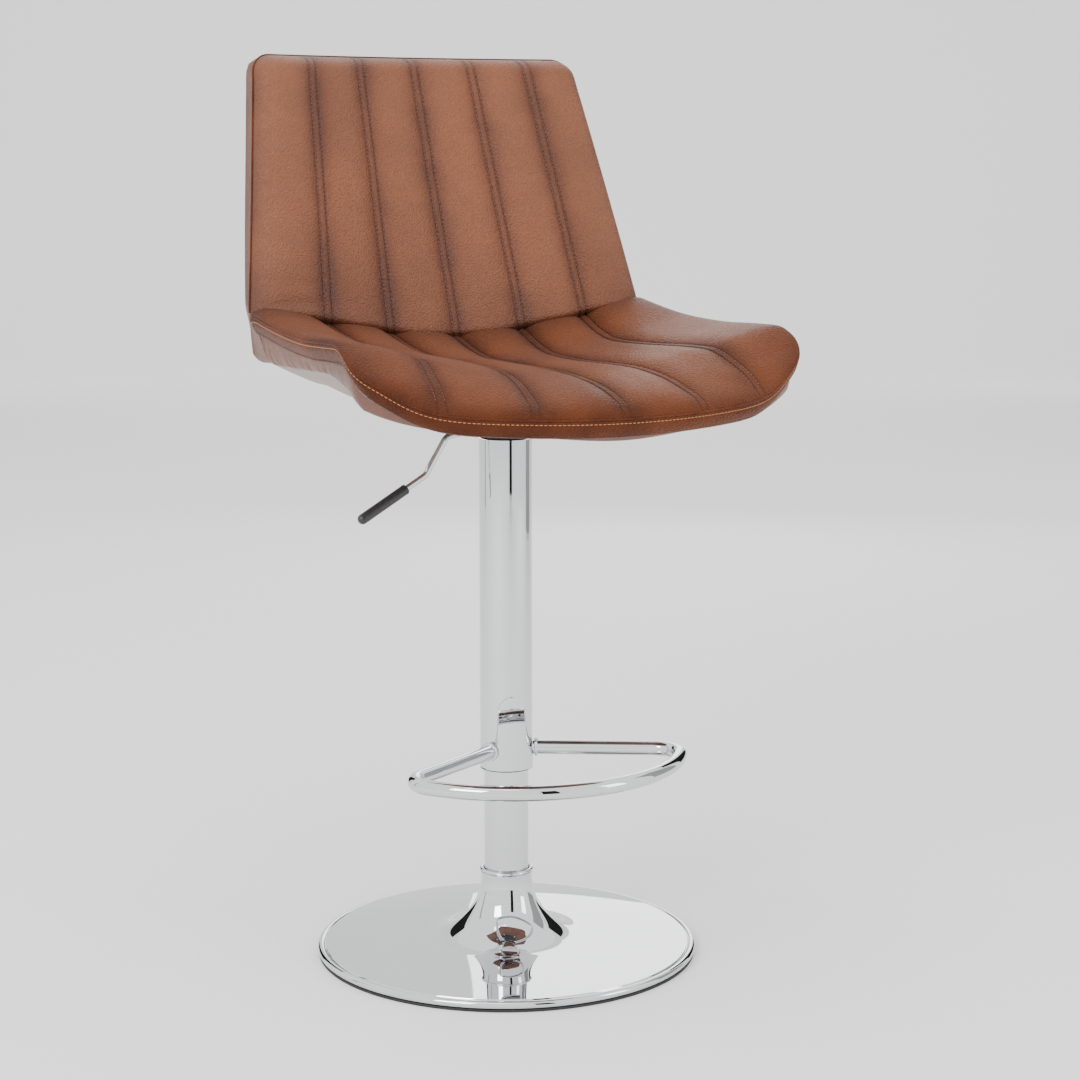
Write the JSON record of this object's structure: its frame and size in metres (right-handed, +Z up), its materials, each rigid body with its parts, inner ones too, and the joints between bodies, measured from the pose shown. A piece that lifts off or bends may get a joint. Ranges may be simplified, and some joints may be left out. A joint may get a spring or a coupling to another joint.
{
  "type": "bar stool with footrest",
  "caption": "Height-adjustable swivel bar stool: round trumpet base, gas-lift column with D-shaped footrest, channelled leather bucket seat and a height lever.",
  "frame": {"origin": "on the floor at the column's axis", "axes": "+Z up along the column; -Y is the way the sitter faces; +X is the sitter's left"},
  "size_m": [0.472, 0.5169, 0.9],
  "materials": {
    "chrome": "polished chrome plate",
    "brown_leather": "pebbled bonded leather with a soft sheen",
    "black_rubber": "matt black rubber",
    "black_plastic": "satin black moulded plastic",
    "white_plastic": "natural acetal bush",
    "black_steel": "black powder-coated steel",
    "zinc_steel": "bright zinc-plated steel",
    "plywood": "bent beech plywood"
  },
  "bodies": {
    "base": {"base_plate": "chrome", "base_floor_ring": "black_rubber", "ballast_plate": "black_steel", "base_bolts": "zinc_steel", "column_flange": "black_steel", "lower_tube": "chrome", "tube_floor": "zinc_steel", "bearing_lower_race": "zinc_steel", "bearing_balls": "zinc_steel", "guide_bush": "white_plastic"},
    "rod": {"bearing_upper_race": "zinc_steel", "piston_rod": "zinc_steel", "rod_clip": "zinc_steel", "rod_bumper": "black_rubber", "piston": "zinc_steel"},
    "lift": {"gas_cylinder": "black_steel", "cylinder_gland": "zinc_steel", "tube_top_ring": "zinc_steel", "cover_tube": "chrome", "cover_tube_bush": "black_plastic", "footrest_loop": "chrome", "footrest_saddle": "chrome", "mount_hub": "black_steel", "lever_bracket": "black_steel", "fulcrum_pin": "zinc_steel", "mount_plate": "black_steel", "mount_washers": "zinc_steel", "mount_bolts": "zinc_steel", "tee_nuts": "zinc_steel", "seat_shell": "plywood", "underside_cover": "brown_leather", "back_cover": "brown_leather", "seat_cushion": "brown_leather", "back_cushion": "brown_leather"},
    "lever": {"lever_rod": "chrome", "lever_grip": "black_plastic"},
    "valve": {"valve_button": "zinc_steel"}
  },
  "joints": [
    {"name": "seat_swivel", "type": "hinge", "parent": "base", "child": "rod", "pos_m": [0, 0, 0.03], "axis": [0, 0, 1], "continuous": true},
    {"name": "seat_lift", "type": "slide", "parent": "rod", "child": "lift", "axis": [0, 0, 1], "range_m": [0, 0.21]},
    {"name": "lever_pull", "type": "hinge", "parent": "lift", "child": "lever", "pos_m": [-0.026, 0, 0.5345], "axis": [0, 1, 0], "range_deg": [0, 8], "stiffness_Nm_per_rad": 4, "springref_deg": -5.73},
    {"name": "valve_press", "type": "slide", "parent": "lift", "child": "valve", "axis": [0, 0, -1], "range_m": [0, 0.0037]}
  ],
  "couplings": [
    {"joint": "valve_press", "follows": "lever_pull", "m_per_rad": 0.026}
  ]
}
